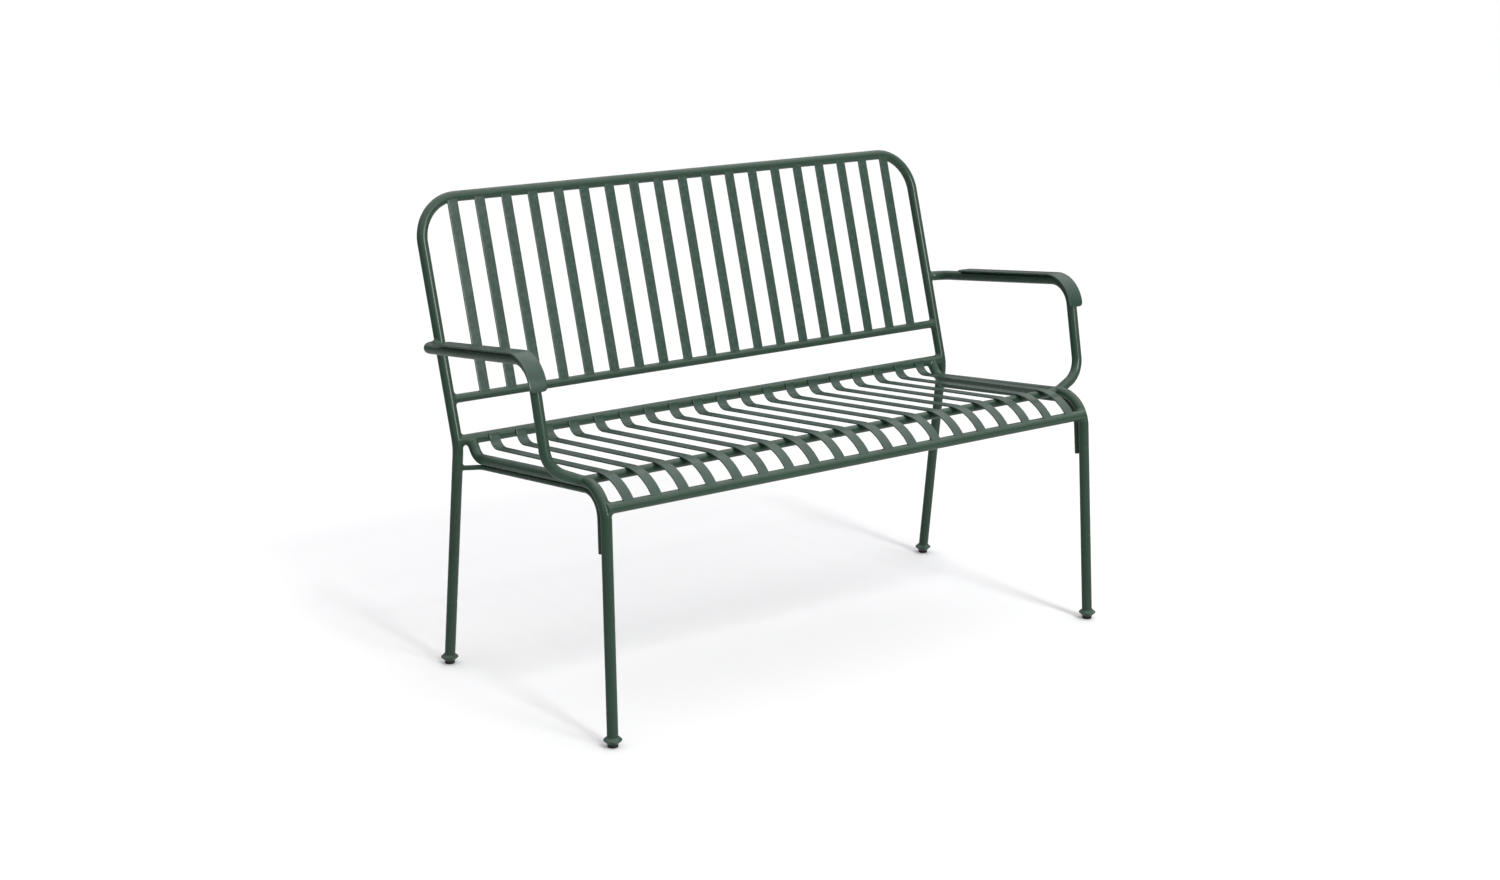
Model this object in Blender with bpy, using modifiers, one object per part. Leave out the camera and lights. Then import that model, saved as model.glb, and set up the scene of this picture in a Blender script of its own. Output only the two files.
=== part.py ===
"""Welded steel garden bench: bent tube frame, slatted seat and back, two armrests.

Metres, +Z up, +X along the bench's length, -Y to its front.
The origin is on the floor, at the middle of the bench's length and depth.
"""
import math

import bmesh
import bpy
from mathutils import Vector

# Tube, rod and strip sizes
MAIN_R = 0.0095
RAIL_R = 0.0079
BRACE_R = 0.0045
STRIP_W = 0.0204
STRIP_T = 0.0025
PAD_W = 0.034
PAD_T = 0.003
GAP = 0.0003
MAIN_SIDES = 16
THIN_SIDES = 12

# Front legs: foot, lean and splay
FRONT_FOOT = Vector((0.542, -0.288, 0.0))
LEG_LEAN = 0.0561
LEG_SPLAY = 0.0217

# Seat sides: height over the front feet, fall towards the back, bend radii
SEAT_Z = 0.440
SIDE_FALL = 0.105
SEAT_BEND_R = 0.057
TAIL_BEND_R = 0.030
TAIL_Y = 0.148

# Rear legs and back: foot, bend at seat height, recline, top corners
REAR_FOOT = Vector((0.564, 0.221, 0.0))
REAR_BEND = Vector((0.560, 0.169, 0.4153))
RECLINE = 0.2973
TOP_Z = 0.8345
REAR_BEND_R = 0.080
TOP_BEND_R = 0.078

# Rails across the bench
LOWER_RAIL_Z = 0.4957
REAR_RAIL_Z = 0.425
FRONT_RAIL_Z = 0.3995
SUPPORT_Y = -0.192

# Slats
SLAT_COUNT = 19
SLAT_PITCH = 0.05465
SLAT_FALL = 0.095
SLAT_FRONT_ANGLE = math.radians(48.0)
SLAT_FRONT_R = 0.096
SLAT_REAR_ANGLE = math.radians(76.0)
SLAT_REAR_R = 0.026
SLAT_REAR_LAP = 0.0045
BACK_SLAT_INSET = 0.0015

# Arms
ARM_X = 0.594
ARM_FRONT_X = 0.5975
ARM_REAR_Z = 0.5881
ARM_RISE = 0.118
ARM_FRONT_Y = -0.150
ARM_LOW_Y = -0.187
ARM_LOW_Z = 0.457
ARM_LANDING_Y = -0.195
ARM_ELBOW_R = 0.030
ARM_FRONT_R = 0.050
ARM_LOW_R = 0.050
PAD_X = 0.597
PAD_REAR_Y = 0.152
PAD_FRONT_Z = 0.581
PAD_CORNER_R = 0.008

# Braces under the seat sides
BRACE_DROP = 0.0145
BRACE_STANDOFF = 0.0185
BRACE_REAR_Z = 0.3755
BRACE_SWING_Y = 0.138
BRACE_END_Z = 0.321
BRACE_BEND_R = 0.040
BRACE_SWING_R = 0.030

# Feet
LEG_END_Z = 0.007
STEM_R = 0.005
STEM_TOP_Z = 0.0187
BORE_TOP_Z = 0.021
COLLAR_BOTTOM_Z = 0.0065
COLLAR_TOP_Z = 0.0185
COLLAR_R = 0.0157
COLLAR_LIP = 0.0016
COLLAR_EDGE_INSET = 0.0008
COLLAR_EDGE_HALF = 0.0018
GLIDE_R = 0.0091
GLIDE_CHAMFER_H = 0.0012
GLIDE_CHAMFER_W = 0.0010

# Working lengths of cutters, and facets of curved parts
LEG_OVERRUN = 0.010
TRIM_LENGTH = 1.4
TRIM_DEPTH = 0.1
PAD_REAR_SPLIT = 0.1
PAD_FRONT_SPLIT = 0.95
TUBE_ARC_STEPS = 8
THIN_ARC_STEPS = 7
PAD_ARC_STEPS = 10
PAD_CORNER_STEPS = 4
BORE_STEPS = 16
COLLAR_STEPS = 24
GLIDE_STEPS = 20
SHARP_EDGE = math.radians(40.0)
CAP_WELD = 1e-6
TURN_WELD = 1e-5

GREEN = (0.046, 0.082, 0.064, 1.0)
BLACK = (0.010, 0.010, 0.010, 1.0)
STEEL_ROUGHNESS = 0.42
GLIDE_ROUGHNESS = 0.55


def clear_scene():
    """Remove every object that is already there."""
    for obj in list(bpy.data.objects):
        bpy.data.objects.remove(obj, do_unlink=True)


def new_collection(name):
    """Add a collection to the scene."""
    collection = bpy.data.collections.new(name)
    bpy.context.scene.collection.children.link(collection)
    return collection


def paint(obj, color, roughness):
    """Give an object a material of its own."""
    material = bpy.data.materials.new("finish_" + obj.name)
    material.use_nodes = True
    shader = material.node_tree.nodes["Principled BSDF"]
    shader.inputs["Base Color"].default_value = color
    shader.inputs["Roughness"].default_value = roughness
    material.diffuse_color = color
    obj.data.materials.clear()
    obj.data.materials.append(material)


def paint_steel(obj):
    """Satin green powder coat."""
    paint(obj, GREEN, STEEL_ROUGHNESS)


def mirror_x(points, side):
    """Points for the +X side as they are, for the -X side mirrored."""
    return [Vector((p[0] * side, p[1], p[2])) for p in points]


def rounded_path(points, radii, steps):
    """A polyline whose inner corners are arcs of the given radii."""
    path = [Vector(points[0])]
    for before, corner, after, radius in zip(points, points[1:], points[2:], radii):
        incoming = (Vector(before) - Vector(corner)).normalized()
        outgoing = (Vector(after) - Vector(corner)).normalized()
        half = incoming.angle(outgoing) / 2
        bisector = (incoming + outgoing).normalized()
        centre = Vector(corner) + bisector * (radius / math.sin(half))
        start = Vector(corner) + incoming * (radius / math.tan(half)) - centre
        end = Vector(corner) + outgoing * (radius / math.tan(half)) - centre
        turn = start.rotation_difference(end)
        for step in range(steps + 1):
            part = turn.copy()
            part.angle = turn.angle * step / steps
            path.append(centre + part @ start)
    path.append(Vector(points[-1]))
    return path


def mesh_from_curve(curve_object, collection):
    """Turn a curve object into a mesh object with welded caps."""
    bpy.context.view_layer.update()
    evaluated = curve_object.evaluated_get(bpy.context.evaluated_depsgraph_get())
    mesh = bpy.data.meshes.new_from_object(evaluated)
    name = curve_object.name
    matrix = curve_object.matrix_world.copy()
    bpy.data.objects.remove(curve_object, do_unlink=True)
    edit = bmesh.new()
    edit.from_mesh(mesh)
    bmesh.ops.remove_doubles(edit, verts=edit.verts, dist=CAP_WELD)
    edit.to_mesh(mesh)
    edit.free()
    obj = bpy.data.objects.new(name, mesh)
    obj.matrix_world = matrix
    collection.objects.link(obj)
    return obj


def poly_curve(name, path, dimensions):
    """A curve data block with one POLY spline."""
    curve = bpy.data.curves.new(name, "CURVE")
    curve.dimensions = dimensions
    spline = curve.splines.new("POLY")
    spline.points.add(len(path) - 1)
    for point, place in zip(spline.points, path):
        point.co = (*place, 1.0)
    return curve


def tube(name, path, radius, sides, collection):
    """A round bar along a path, as a closed mesh."""
    curve = poly_curve(name, path, "3D")
    curve.bevel_depth = radius
    curve.bevel_resolution = sides // 2 - 2
    curve.use_fill_caps = True
    curve_object = bpy.data.objects.new(name, curve)
    collection.objects.link(curve_object)
    obj = mesh_from_curve(curve_object, collection)
    obj.data.shade_smooth()
    obj.data.set_sharp_from_angle(angle=SHARP_EDGE)
    return obj


def strip(name, profile, x, width, thickness, collection, corner_radius=0.0):
    """A flat bar bent along a (y, z) profile, centred on x."""
    curve = poly_curve(name, [(y, z, 0.0) for y, z in profile], "2D")
    curve.fill_mode = "NONE"
    curve.extrude = width / 2
    curve_object = bpy.data.objects.new(name, curve)
    curve_object.location = (x, 0.0, 0.0)
    curve_object.rotation_euler = (math.pi / 2, 0.0, math.pi / 2)
    collection.objects.link(curve_object)
    obj = mesh_from_curve(curve_object, collection)
    if corner_radius:
        round_corners(obj.data, corner_radius)
    solidify = obj.modifiers.new("thickness", "SOLIDIFY")
    solidify.thickness = thickness
    solidify.offset = 0.0
    solidify.use_even_offset = True
    return obj


def round_corners(mesh, radius):
    """Round the four corners of an open ribbon."""
    edit = bmesh.new()
    edit.from_mesh(mesh)
    corners = [vert for vert in edit.verts if len(vert.link_edges) == 2]
    bmesh.ops.bevel(
        edit,
        geom=corners,
        offset=radius,
        segments=PAD_CORNER_STEPS,
        profile=0.5,
        affect="VERTICES",
    )
    edit.to_mesh(mesh)
    edit.free()


def turned(name, profile, foot, steps, collection):
    """A body of revolution about a vertical axis through the foot."""
    mesh = bpy.data.meshes.new(name)
    edit = bmesh.new()
    verts = [edit.verts.new((radius, 0.0, z)) for radius, z in profile]
    for first, second in zip(verts, verts[1:]):
        edit.edges.new((first, second))
    edit.to_mesh(mesh)
    edit.free()
    obj = bpy.data.objects.new(name, mesh)
    obj.location = (foot.x, foot.y, 0.0)
    collection.objects.link(obj)
    screw = obj.modifiers.new("turn", "SCREW")
    screw.steps = steps
    screw.render_steps = steps
    screw.use_merge_vertices = True
    screw.merge_threshold = TURN_WELD
    return obj


def as_cutter(obj):
    """Mark an object as a cutting tool."""
    obj.hide_render = True
    obj.display_type = "WIRE"
    return obj


def cut(obj, *cutters):
    """Subtract cutters from an object."""
    for cutter in cutters:
        boolean = obj.modifiers.new("cut_" + cutter.name, "BOOLEAN")
        boolean.operation = "DIFFERENCE"
        boolean.solver = "EXACT"
        boolean.object = cutter


def front_leg_at(z):
    """Centre of the +X front leg at a height."""
    return Vector((FRONT_FOOT.x - LEG_SPLAY * z, FRONT_FOOT.y + LEG_LEAN * z, z))


def rear_leg_at(z):
    """Centre of the +X rear leg at a height below the seat."""
    return REAR_FOOT.lerp(REAR_BEND, z / REAR_BEND.z)


def upright_at(z):
    """Centre of the +X back upright at a height above the seat."""
    return Vector((REAR_BEND.x, REAR_BEND.y + RECLINE * (z - REAR_BEND.z), z))


def side_z(y):
    """Height of a seat side tube's centre line."""
    return SEAT_Z - SIDE_FALL * (y - FRONT_FOOT.y)


def seat_corner():
    """Where the +X front leg's and seat side's centre lines meet."""
    z = SEAT_Z / (1 + SIDE_FALL * LEG_LEAN)
    return front_leg_at(z)


def slat_flat_z(y):
    """Height of a seat slat's mid line over its flat run."""
    over_support = side_z(SUPPORT_Y) + RAIL_R + GAP + STRIP_T / 2
    return over_support - SLAT_FALL * (y - SUPPORT_Y)


def leg_path(side):
    """Centre line of a front leg with its seat side."""
    corner = seat_corner()
    points = [
        front_leg_at(-LEG_OVERRUN),
        corner,
        (corner.x, TAIL_Y, side_z(TAIL_Y)),
        (corner.x, upright_at(REAR_RAIL_Z).y, REAR_RAIL_Z),
    ]
    return rounded_path(mirror_x(points, side), (SEAT_BEND_R, TAIL_BEND_R), TUBE_ARC_STEPS)


def back_path():
    """Centre line of the rear legs, uprights and top rail in one bent tube."""
    half = [rear_leg_at(-LEG_OVERRUN), REAR_BEND, upright_at(TOP_Z)]
    points = mirror_x(half, -1) + mirror_x(reversed(half), 1)
    radii = (REAR_BEND_R, TOP_BEND_R, TOP_BEND_R, REAR_BEND_R)
    return rounded_path(points, radii, TUBE_ARC_STEPS)


def arm_path(side):
    """Centre line of an arm, from the upright round to the seat side."""
    root = upright_at(ARM_REAR_Z)
    front_z = ARM_REAR_Z + ARM_RISE * (root.y - ARM_FRONT_Y)
    points = [
        root,
        (ARM_X, root.y, root.z),
        (ARM_FRONT_X, ARM_FRONT_Y, front_z),
        (ARM_X, ARM_LOW_Y, ARM_LOW_Z),
        (seat_corner().x, ARM_LANDING_Y, side_z(ARM_LANDING_Y)),
    ]
    radii = (ARM_ELBOW_R, ARM_FRONT_R, ARM_LOW_R)
    return rounded_path(mirror_x(points, side), radii, THIN_ARC_STEPS)


def brace_path(side):
    """Centre line of the rod under a seat side."""
    front_y = front_leg_at(SEAT_Z).y + BRACE_STANDOFF
    low = front_leg_at(BRACE_END_Z)
    side_x = seat_corner().x
    points = [
        rear_leg_at(BRACE_REAR_Z),
        (side_x, BRACE_SWING_Y, side_z(BRACE_SWING_Y) - BRACE_DROP),
        (side_x, front_y, side_z(front_y) - BRACE_DROP),
        (low.x, low.y + BRACE_STANDOFF, BRACE_END_Z),
    ]
    return rounded_path(mirror_x(points, side), (BRACE_SWING_R, BRACE_BEND_R), THIN_ARC_STEPS)


def rail_contact(rail, angle, reach):
    """A strip's mid line beside a rail's front, (y, z), at an angle from the rail's top."""
    return Vector((rail.y - reach * math.sin(angle), rail.z + reach * math.cos(angle)))


def slope_to_flat_run(contact, angle):
    """How far a line at this angle runs from the contact to the slats' flat run."""
    rise = slat_flat_z(contact.x) - contact.y
    return rise / (math.sin(angle) + SLAT_FALL * math.cos(angle))


def slat_profile():
    """Mid line of a seat slat in (y, z), flush with the front rail and lapped on the rear rail."""
    front = rail_contact(front_leg_at(FRONT_RAIL_Z), SLAT_FRONT_ANGLE, MAIN_R - STRIP_T / 2)
    rear = rail_contact(upright_at(REAR_RAIL_Z), SLAT_REAR_ANGLE, MAIN_R + GAP + STRIP_T / 2)
    front_up = Vector((math.cos(SLAT_FRONT_ANGLE), math.sin(SLAT_FRONT_ANGLE)))
    rear_up = Vector((math.cos(SLAT_REAR_ANGLE), math.sin(SLAT_REAR_ANGLE)))
    points = [
        front,
        front + front_up * slope_to_flat_run(front, SLAT_FRONT_ANGLE),
        rear + rear_up * slope_to_flat_run(rear, SLAT_REAR_ANGLE),
        rear + rear_up * SLAT_REAR_LAP,
    ]
    flat = [(*point, 0.0) for point in points]
    path = rounded_path(flat, (SLAT_FRONT_R, SLAT_REAR_R), TUBE_ARC_STEPS)
    return [(point.x, point.y) for point in path]


def back_slat_profile():
    """Mid line of a back slat in (y, z), set into both rails just behind their fronts."""
    up = Vector((RECLINE, 1.0)).normalized()
    forward = Vector((-up.y, up.x))
    low = upright_at(LOWER_RAIL_Z)
    high = upright_at(TOP_Z)
    start = Vector((low.y, low.z)) + forward * (RAIL_R - BACK_SLAT_INSET - STRIP_T / 2)
    end = Vector((high.y, high.z)) + forward * (MAIN_R - BACK_SLAT_INSET - STRIP_T / 2)
    return [tuple(start), tuple(end)]


def pad_profile():
    """Mid line of an arm pad in (y, z), over the arm tube and round its front bend."""
    reach = MAIN_R + GAP + PAD_T / 2
    root = upright_at(ARM_REAR_Z)
    corner = Vector((ARM_FRONT_Y, ARM_REAR_Z + ARM_RISE * (root.y - ARM_FRONT_Y)))
    along = Vector((1.0, -ARM_RISE)).normalized()
    down = Vector((ARM_LOW_Y, ARM_LOW_Z)) - corner
    down.normalize()
    lift = Vector((-along.y, along.x)) * reach
    push = Vector((down.y, -down.x)) * reach
    bisector = (lift + push).normalized()
    outer = corner + bisector * (reach / bisector.dot(lift.normalized()))
    rear = corner + along * ((PAD_REAR_Y - corner.x) / along.x) + lift
    front = corner + down * ((corner.y - PAD_FRONT_Z) / -down.y) + push
    points = [(*rear, 0.0), (*outer, 0.0), (*front, 0.0)]
    path = rounded_path(points, (ARM_FRONT_R + reach,), PAD_ARC_STEPS)
    path.insert(1, path[0].lerp(path[1], PAD_REAR_SPLIT))
    path.insert(-1, path[-1].lerp(path[-2], PAD_FRONT_SPLIT))
    return [(point.x, point.y) for point in path]


def make_foot(tag, foot, leg, leg_cutter, parts, cutters):
    """A leg's collar and floor glide, and the bore for the glide's stem."""
    bore = turned(
        "bore_" + tag,
        [(0.0, BORE_TOP_Z), (STEM_R + GAP, BORE_TOP_Z), (STEM_R + GAP, 0.0), (0.0, 0.0)],
        foot,
        BORE_STEPS,
        cutters,
    )
    cut(leg, as_cutter(bore))
    middle_z = (COLLAR_BOTTOM_Z + COLLAR_TOP_Z) / 2
    lip_r = MAIN_R + COLLAR_LIP
    edge_r = COLLAR_R - COLLAR_EDGE_INSET
    collar = turned(
        "collar_" + tag,
        [
            (0.0, COLLAR_TOP_Z),
            (lip_r, COLLAR_TOP_Z),
            (edge_r, middle_z + COLLAR_EDGE_HALF),
            (COLLAR_R, middle_z),
            (edge_r, middle_z - COLLAR_EDGE_HALF),
            (lip_r, COLLAR_BOTTOM_Z),
            (0.0, COLLAR_BOTTOM_Z),
        ],
        foot,
        COLLAR_STEPS,
        parts,
    )
    cut(collar, leg_cutter)
    paint_steel(collar)
    shoulder_z = LEG_END_Z - GAP
    glide = turned(
        "glide_" + tag,
        [
            (0.0, STEM_TOP_Z),
            (STEM_R, STEM_TOP_Z),
            (STEM_R, shoulder_z),
            (GLIDE_R, shoulder_z),
            (GLIDE_R, GLIDE_CHAMFER_H),
            (GLIDE_R - GLIDE_CHAMFER_W, 0.0),
            (0.0, 0.0),
        ],
        foot,
        GLIDE_STEPS,
        parts,
    )
    paint(glide, BLACK, GLIDE_ROUGHNESS)


def floor_cutter(collection):
    """A block that trims the legs level above the floor."""
    middle_z = LEG_END_Z - TRIM_DEPTH / 2
    bpy.ops.mesh.primitive_cube_add(size=1.0, location=(0.0, 0.0, middle_z))
    block = bpy.context.object
    block.name = "leg_trim"
    for vert in block.data.vertices:
        vert.co.x *= TRIM_LENGTH
        vert.co.z *= TRIM_DEPTH
    for owner in list(block.users_collection):
        owner.objects.unlink(block)
    collection.objects.link(block)
    return as_cutter(block)


def rail_cutter(name, half_length, y, z, radius, cutters):
    """A tool that leaves a gap round a straight rail."""
    ends = [(-half_length, y, z), (half_length, y, z)]
    return as_cutter(tube(name, ends, radius + GAP, MAIN_SIDES, cutters))


def make_frame(parts, cutters):
    """Bent tubes, rails, arms, braces and feet. Returns what cuts the seat and back slats."""
    trim = floor_cutter(cutters)
    back = tube("back_frame", back_path(), MAIN_R, MAIN_SIDES, parts)
    back_cutter = as_cutter(tube("cut_back", back_path(), MAIN_R + GAP, MAIN_SIDES, cutters))
    cut(back, trim)
    paint_steel(back)

    rear_y = upright_at(REAR_RAIL_Z).y
    rear_rail = cross_rail("seat_rear_rail", REAR_BEND.x, rear_y, REAR_RAIL_Z, MAIN_R, parts)
    cut(rear_rail, back_cutter)
    rear_cutter = rail_cutter("cut_rear", REAR_BEND.x, rear_y, REAR_RAIL_Z, MAIN_R, cutters)
    lower_y = upright_at(LOWER_RAIL_Z).y
    lower_rail = cross_rail("back_lower_rail", REAR_BEND.x, lower_y, LOWER_RAIL_Z, RAIL_R, parts)
    cut(lower_rail, back_cutter)
    lower_cutter = rail_cutter("cut_lower", REAR_BEND.x, lower_y, LOWER_RAIL_Z, RAIL_R, cutters)

    front = front_leg_at(FRONT_RAIL_Z)
    front_rail = cross_rail("seat_front_rail", front.x, front.y, front.z, MAIN_R, parts)
    front_cutter = rail_cutter("cut_front", front.x, front.y, front.z, MAIN_R, cutters)
    support_z = side_z(SUPPORT_Y)
    support = cross_rail("seat_support_tube", seat_corner().x, SUPPORT_Y, support_z, RAIL_R, parts)
    for tag, side in (("left", -1), ("right", 1)):
        leg = tube("side_leg_" + tag, leg_path(side), MAIN_R, MAIN_SIDES, parts)
        leg_cutter = as_cutter(
            tube("cut_leg_" + tag, leg_path(side), MAIN_R + GAP, MAIN_SIDES, cutters)
        )
        cut(leg, trim, rear_cutter)
        cut(front_rail, leg_cutter)
        cut(support, leg_cutter)
        paint_steel(leg)
        make_arm(tag, side, back_cutter, leg_cutter, parts)
        brace = tube("brace_" + tag, brace_path(side), BRACE_R, THIN_SIDES, parts)
        cut(brace, back_cutter)
        paint_steel(brace)
        front_foot = mirror_x([front_leg_at(LEG_END_Z)], side)[0]
        rear_foot = mirror_x([rear_leg_at(LEG_END_Z)], side)[0]
        make_foot("front_" + tag, front_foot, leg, leg_cutter, parts, cutters)
        make_foot("rear_" + tag, rear_foot, back, back_cutter, parts, cutters)
    return (front_cutter,), (back_cutter, lower_cutter)


def cross_rail(name, half_length, y, z, radius, collection):
    """A straight rail across the bench, between two tubes' centre lines."""
    rail = tube(name, [(-half_length, y, z), (half_length, y, z)], radius, MAIN_SIDES, collection)
    paint_steel(rail)
    return rail


def make_arm(tag, side, back_cutter, leg_cutter, parts):
    """An arm tube and the flat pad on it."""
    arm = tube("arm_" + tag, arm_path(side), MAIN_R, MAIN_SIDES, parts)
    cut(arm, back_cutter, leg_cutter)
    paint_steel(arm)
    pad = strip("arm_pad_" + tag, pad_profile(), PAD_X * side, PAD_W, PAD_T, parts, PAD_CORNER_R)
    paint_steel(pad)


def make_slats(parts, seat_cutters, back_cutters):
    """The seat slats and the back slats, from the -X end to the +X end."""
    for index in range(SLAT_COUNT):
        x = (index - (SLAT_COUNT - 1) / 2) * SLAT_PITCH
        tag = "{:02d}".format(index + 1)
        seat_slat = strip("seat_slat_" + tag, slat_profile(), x, STRIP_W, STRIP_T, parts)
        cut(seat_slat, *seat_cutters)
        paint_steel(seat_slat)
        back_slat = strip("back_slat_" + tag, back_slat_profile(), x, STRIP_W, STRIP_T, parts)
        cut(back_slat, *back_cutters)
        paint_steel(back_slat)


def main():
    clear_scene()
    parts = new_collection("slatted_steel_bench")
    cutters = new_collection("cutters")
    seat_cutters, back_cutters = make_frame(parts, cutters)
    make_slats(parts, seat_cutters, back_cutters)


main()
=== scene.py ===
import math

import bmesh
import bpy
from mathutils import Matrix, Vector
from mathutils.bvhtree import BVHTree


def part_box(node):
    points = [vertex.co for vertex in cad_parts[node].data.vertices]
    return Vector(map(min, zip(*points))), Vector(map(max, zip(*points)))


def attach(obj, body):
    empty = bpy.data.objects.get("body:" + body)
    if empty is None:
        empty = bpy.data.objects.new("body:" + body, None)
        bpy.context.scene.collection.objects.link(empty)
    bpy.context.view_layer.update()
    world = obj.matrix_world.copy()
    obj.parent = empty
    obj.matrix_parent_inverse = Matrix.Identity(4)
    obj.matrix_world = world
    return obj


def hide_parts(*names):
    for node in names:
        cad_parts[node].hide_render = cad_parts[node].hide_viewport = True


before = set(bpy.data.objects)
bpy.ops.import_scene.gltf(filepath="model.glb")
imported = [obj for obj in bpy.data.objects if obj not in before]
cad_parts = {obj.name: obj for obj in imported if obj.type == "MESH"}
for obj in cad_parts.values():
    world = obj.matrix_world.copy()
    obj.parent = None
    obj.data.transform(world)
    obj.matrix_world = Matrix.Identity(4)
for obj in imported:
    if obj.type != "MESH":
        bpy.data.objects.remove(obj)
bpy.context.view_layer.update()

# Metres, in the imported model's frame: +X along the bench, -Y to its front, +Z up.

# Bar sizes
MAIN_R = 0.0095
RAIL_R = 0.0079
BRACE_R = 0.0045
STRIP_T = 0.0025
STRIP_EDGE = 0.0007
STRIP_CORNER = 0.0010
PAD_T = 0.003
PAD_EDGE = 0.0011
PAD_CORNER = 0.008
GAP = 0.0003

# Front legs and seat sides
FRONT_FOOT = Vector((0.542, -0.288, 0.0))
LEG_LEAN = 0.0561
LEG_SPLAY = 0.0217
SEAT_Z = 0.440
SIDE_FALL = 0.105
SEAT_BEND_R = 0.057
TAIL_BEND_R = 0.030
TAIL_Y = 0.148
LEG_END_Z = 0.0075

# Rear legs, uprights and top rail
REAR_FOOT = Vector((0.564, 0.221, 0.0))
REAR_BEND = Vector((0.560, 0.169, 0.4153))
RECLINE = 0.2973
TOP_Z = 0.8345
REAR_BEND_R = 0.080
TOP_BEND_R = 0.078

# Rails
LOWER_RAIL_Z = 0.4957
REAR_RAIL_Z = 0.425
FRONT_RAIL_Z = 0.3995
SUPPORT_Y = -0.192

# Slats
SLAT_FALL = 0.095
SLAT_FRONT_ANGLE = math.radians(48.0)
SLAT_FRONT_R = 0.096
SLAT_REAR_ANGLE = math.radians(76.0)
SLAT_REAR_R = 0.026
SLAT_REAR_LAP = 0.0045
BACK_SLAT_INSET = 0.0015
FLUSH_SINK = 0.0001

# Arms and their pads
ARM_X = 0.594
ARM_FRONT_X = 0.5975
ARM_REAR_Z = 0.5881
ARM_RISE = 0.118
ARM_FRONT_Y = -0.150
ARM_LOW_Y = -0.187
ARM_LOW_Z = 0.457
ARM_LANDING_Y = -0.195
ARM_ELBOW_R = 0.030
ARM_FRONT_R = 0.050
ARM_LOW_R = 0.050
PAD_REAR_Y = 0.152
PAD_FRONT_Z = 0.581

# Braces
BRACE_DROP = 0.0145
BRACE_STANDOFF = 0.0185
BRACE_REAR_Z = 0.3755
BRACE_SWING_Y = 0.138
BRACE_END_Z = 0.321
BRACE_BEND_R = 0.040
BRACE_SWING_R = 0.030

# Collars: offsets from the leg, the ends and the rim
COLLAR_BORE_SINK = 0.0010
COLLAR_NECK = 0.0009
COLLAR_EASE_R = 0.0003
COLLAR_EASE_H = 0.0004
COLLAR_CONE_R = 0.0011
COLLAR_CONE_H = 0.0016
COLLAR_RIM = ((0.0016, 0.0017), (0.0007, 0.0013), (0.0002, 0.0007))

# Glides: offsets from their own radius, and heights above the floor
GLIDE_CORE_R = 0.0010
GLIDE_STEM_SHARE = 0.6
GLIDE_STEM_H = 0.0040
GLIDE_SHOULDER_DROP = 0.0008
GLIDE_EASE = 0.0004
GROOVE_Z = 0.00415
GROOVE_HALF = 0.00045
GROOVE_FLOOR_HALF = 0.00015
GROOVE_DEPTH = 0.0003
GLIDE_FOOT = ((0.0, 0.0014), (0.0003, 0.0006), (0.0009, 0.0001), (0.0016, 0.0))

# Weld fillets: leg sizes, then their shape
RAIL_FILLET = 0.0050
SUPPORT_FILLET = 0.0042
ARM_ROOT_FILLET = 0.0045
ARM_LANDING_FILLET = 0.0042
SIDE_END_FILLET = 0.0040
BRACE_FILLET = 0.0036
FILLET_STEPS = 144
FILLET_RIPPLES = 36
FILLET_RIPPLE_DEPTH = 0.06
FILLET_REACH = 0.030
FILLET_START = 0.97
FILLET_THIN = 0.6
FILLET_BULGE = 0.30
FILLET_PROUD = 0.03
FILLET_SINK = 0.00015
FILLET_ROOT = 0.0012

# Weld beads: half lengths, radii and offsets
SLAT_BEAD_HALF = 0.0095
SLAT_BEAD_R = 0.0012
FRONT_CREASE_R = 0.0008
REAR_CREASE_R = 0.0013
SUPPORT_BEAD_HALF = 0.0074
SUPPORT_BEAD_R = 0.0011
SUPPORT_BEAD_OFFSET = 0.0042
SUPPORT_BEAD_SINK = 0.0008
TACK_HALF = 0.009
PAD_TACK_R = 0.0013
PAD_TACK_OFFSET = 0.0052
PAD_TACK_DROP = 0.0014
PAD_TACK_SHARES = (0.12, 0.40, 0.66)
BRACE_TACK_R = 0.0019
BRACE_TACK_YS = (-0.20, 0.06)
BEAD_SIDES = 10
BEAD_STEPS = 14
BEAD_RIPPLE_DEPTH = 0.07
BEAD_RIPPLE_TURN = 2.4
BEAD_TIP = 0.05

# Smoothness
TUBE_SIDES = 48
THIN_SIDES = 36
TUBE_EASE = 0.0006
BRACE_EASE = 0.0004
ARC_STEP = math.radians(3.0)
LEAST_ARC_STEPS = 6
CORNER_STEPS = 4
END_STEPS = 7
LATHE_STEPS = 72
BODY_SHARP = math.radians(35.0)
WELD_SHARP = math.radians(60.0)
WEAR_MARGIN = 0.0022

# Coats: colours in pairs of deep and pale, and how strong the orange peel is
TUBE_GREENS = ((0.0205, 0.0475, 0.0295), (0.0255, 0.056, 0.036))
SLAT_GREENS = ((0.0172, 0.044, 0.0292), (0.0218, 0.053, 0.0364))
RUBBED = (0.10, 0.14, 0.12)
# The pale grey laid on upward faces: thin dust, and painted top light as well.
DUST_AND_TOP_LIGHT = (0.30, 0.31, 0.28)
TUBE_PEEL = 0.045
SLAT_PEEL = 0.035
WELD_PEEL = 0.12
COAT_ROUGHNESS = (0.21, 0.28)
PLASTIC_BLACKS = ((0.008, 0.008, 0.009), (0.035, 0.034, 0.032))
PLASTIC_ROUGHNESS = (0.50, 0.68)
FLOOR_GREYS = ((0.850, 0.850, 0.856), (0.862, 0.861, 0.862))
FLOOR_ROUGHNESS = 0.95
FLOOR_SPECULAR = 0.1

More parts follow.
